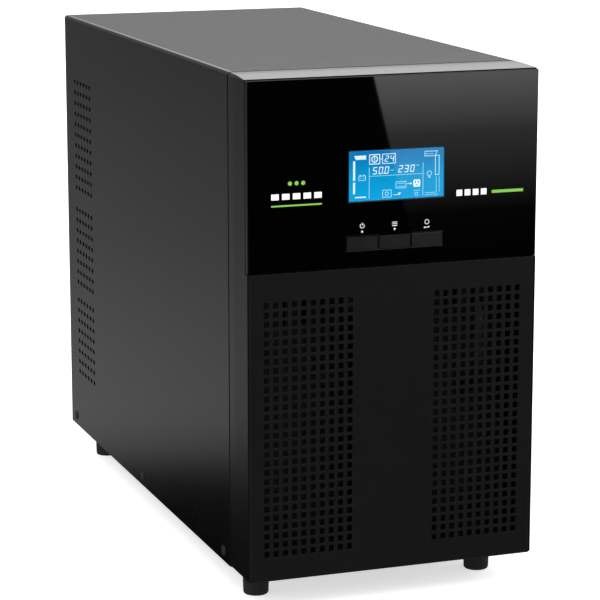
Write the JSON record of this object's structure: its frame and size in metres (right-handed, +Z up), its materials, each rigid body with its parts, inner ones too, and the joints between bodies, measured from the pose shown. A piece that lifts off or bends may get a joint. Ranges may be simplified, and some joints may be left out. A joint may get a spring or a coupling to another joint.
{
  "type": "uninterruptible power supply",
  "caption": "Online tower uninterruptible power supply: steel case on feet, removable front panel with backlit display and keys, slide-out battery box, rear cooling fans and sockets.",
  "frame": {"origin": "on the floor under the middle of the unit, at the undersides of the feet", "axes": "+X across the width, to the right as seen from the front; -Y out of the front panel; +Z up"},
  "size_m": [0.19, 0.421, 0.33],
  "materials": {
    "case_paint": "satin black fine-texture powder coat",
    "chassis_paint": "satin black paint",
    "zinc_sheet": "zinc-plated sheet",
    "black_plastic": "fine spark-eroded texture",
    "gloss_acrylic": "polished black acrylic",
    "rubber": "matte",
    "screw_steel": "black oxide",
    "display_blue": "backlit blue display",
    "display_clear": "clear polished",
    "circuit_board": "solder mask",
    "heatsink_metal": "extruded",
    "battery_case": "moulded",
    "guard_wire": "plated wire",
    "ferrite": "ground ferrite and tape",
    "copper_wire": "enamelled copper",
    "capacitor_sleeve": "shrink sleeve",
    "connector_plastic": "moulded",
    "lead_sheath": "flexible sheath",
    "ribbon_grey": "flexible flat cable"
  },
  "bodies": {
    "chassis": {"base_chassis": "chassis_paint", "outer_cover": "case_paint", "front_bulkhead": "chassis_paint", "mid_shelf": "zinc_sheet", "rear_panel": "case_paint", "cover_screw_left_1": "screw_steel", "cover_screw_left_2": "screw_steel", "cover_screw_left_3": "screw_steel", "cover_screw_right_1": "screw_steel", "cover_screw_right_2": "screw_steel", "cover_screw_right_3": "screw_steel", "foot_front_left": "rubber", "foot_front_right": "rubber", "foot_rear_left": "rubber", "foot_rear_right": "rubber", "main_board": "circuit_board", "heatsink_left": "heatsink_metal", "heatsink_right": "heatsink_metal", "bus_capacitor_front": "capacitor_sleeve", "bus_capacitor_rear": "capacitor_sleeve", "input_choke": "copper_wire", "output_choke": "copper_wire", "power_transformer": "ferrite", "control_board": "circuit_board", "display_ribbon": "ribbon_grey", "battery_socket": "connector_plastic", "fan_frame_left": "black_plastic", "fan_guard_left": "guard_wire", "fan_frame_right": "black_plastic", "fan_guard_right": "guard_wire", "mains_inlet": "connector_plastic", "outlet_strip_upper": "connector_plastic", "outlet_strip_lower": "connector_plastic", "outlet_large": "connector_plastic", "breaker_body": "connector_plastic", "surge_ports": "connector_plastic", "port_board": "circuit_board", "shutdown_terminal": "connector_plastic", "slot_cover": "case_paint"},
    "front_panel": {"bezel_frame": "black_plastic", "gloss_panel": "gloss_acrylic", "front_grille": "black_plastic", "display_lens": "display_clear", "display_module": "display_blue", "display_board": "circuit_board"},
    "button_left": {"button_left": "black_plastic"},
    "button_middle": {"button_middle": "black_plastic"},
    "button_right": {"button_right": "black_plastic"},
    "battery_pack": {"battery_box": "chassis_paint", "battery_box_lid": "zinc_sheet", "battery_lead": "lead_sheath", "battery_1": "battery_case", "battery_2": "battery_case", "battery_3": "battery_case", "battery_4": "battery_case", "battery_5": "battery_case", "battery_6": "battery_case"},
    "breaker_button": {"breaker_button": "black_plastic"},
    "fan_rotor_left": {"fan_rotor_left": "black_plastic"},
    "fan_rotor_right": {"fan_rotor_right": "black_plastic"}
  },
  "joints": [
    {"name": "battery_box_slide", "type": "slide", "parent": "chassis", "child": "battery_pack", "axis": [0, -1, 0], "range_m": [0, 0.26]},
    {"name": "front_panel_pull", "type": "slide", "parent": "chassis", "child": "front_panel", "axis": [0, -1, 0], "range_m": [0, 0.325]},
    {"name": "button_left_press", "type": "slide", "parent": "front_panel", "child": "button_left", "axis": [0, 1, 0], "range_m": [0, 0.001], "stiffness_N_per_m": 500},
    {"name": "button_middle_press", "type": "slide", "parent": "front_panel", "child": "button_middle", "axis": [0, 1, 0], "range_m": [0, 0.001], "stiffness_N_per_m": 500},
    {"name": "button_right_press", "type": "slide", "parent": "front_panel", "child": "button_right", "axis": [0, 1, 0], "range_m": [0, 0.001], "stiffness_N_per_m": 500},
    {"name": "breaker_button_press", "type": "slide", "parent": "chassis", "child": "breaker_button", "axis": [0, -1, 0], "range_m": [0, 0.002], "stiffness_N_per_m": 800},
    {"name": "fan_left_spin", "type": "hinge", "parent": "chassis", "child": "fan_rotor_left", "pos_m": [-0.0435, 0.19, 0.248], "axis": [0, 1, 0], "continuous": true},
    {"name": "fan_right_spin", "type": "hinge", "parent": "chassis", "child": "fan_rotor_right", "pos_m": [0.0435, 0.19, 0.248], "axis": [0, 1, 0], "continuous": true}
  ],
  "couplings": [
    {"joint": "front_panel_pull", "follows": "battery_box_slide", "ratio": 1.25}
  ]
}
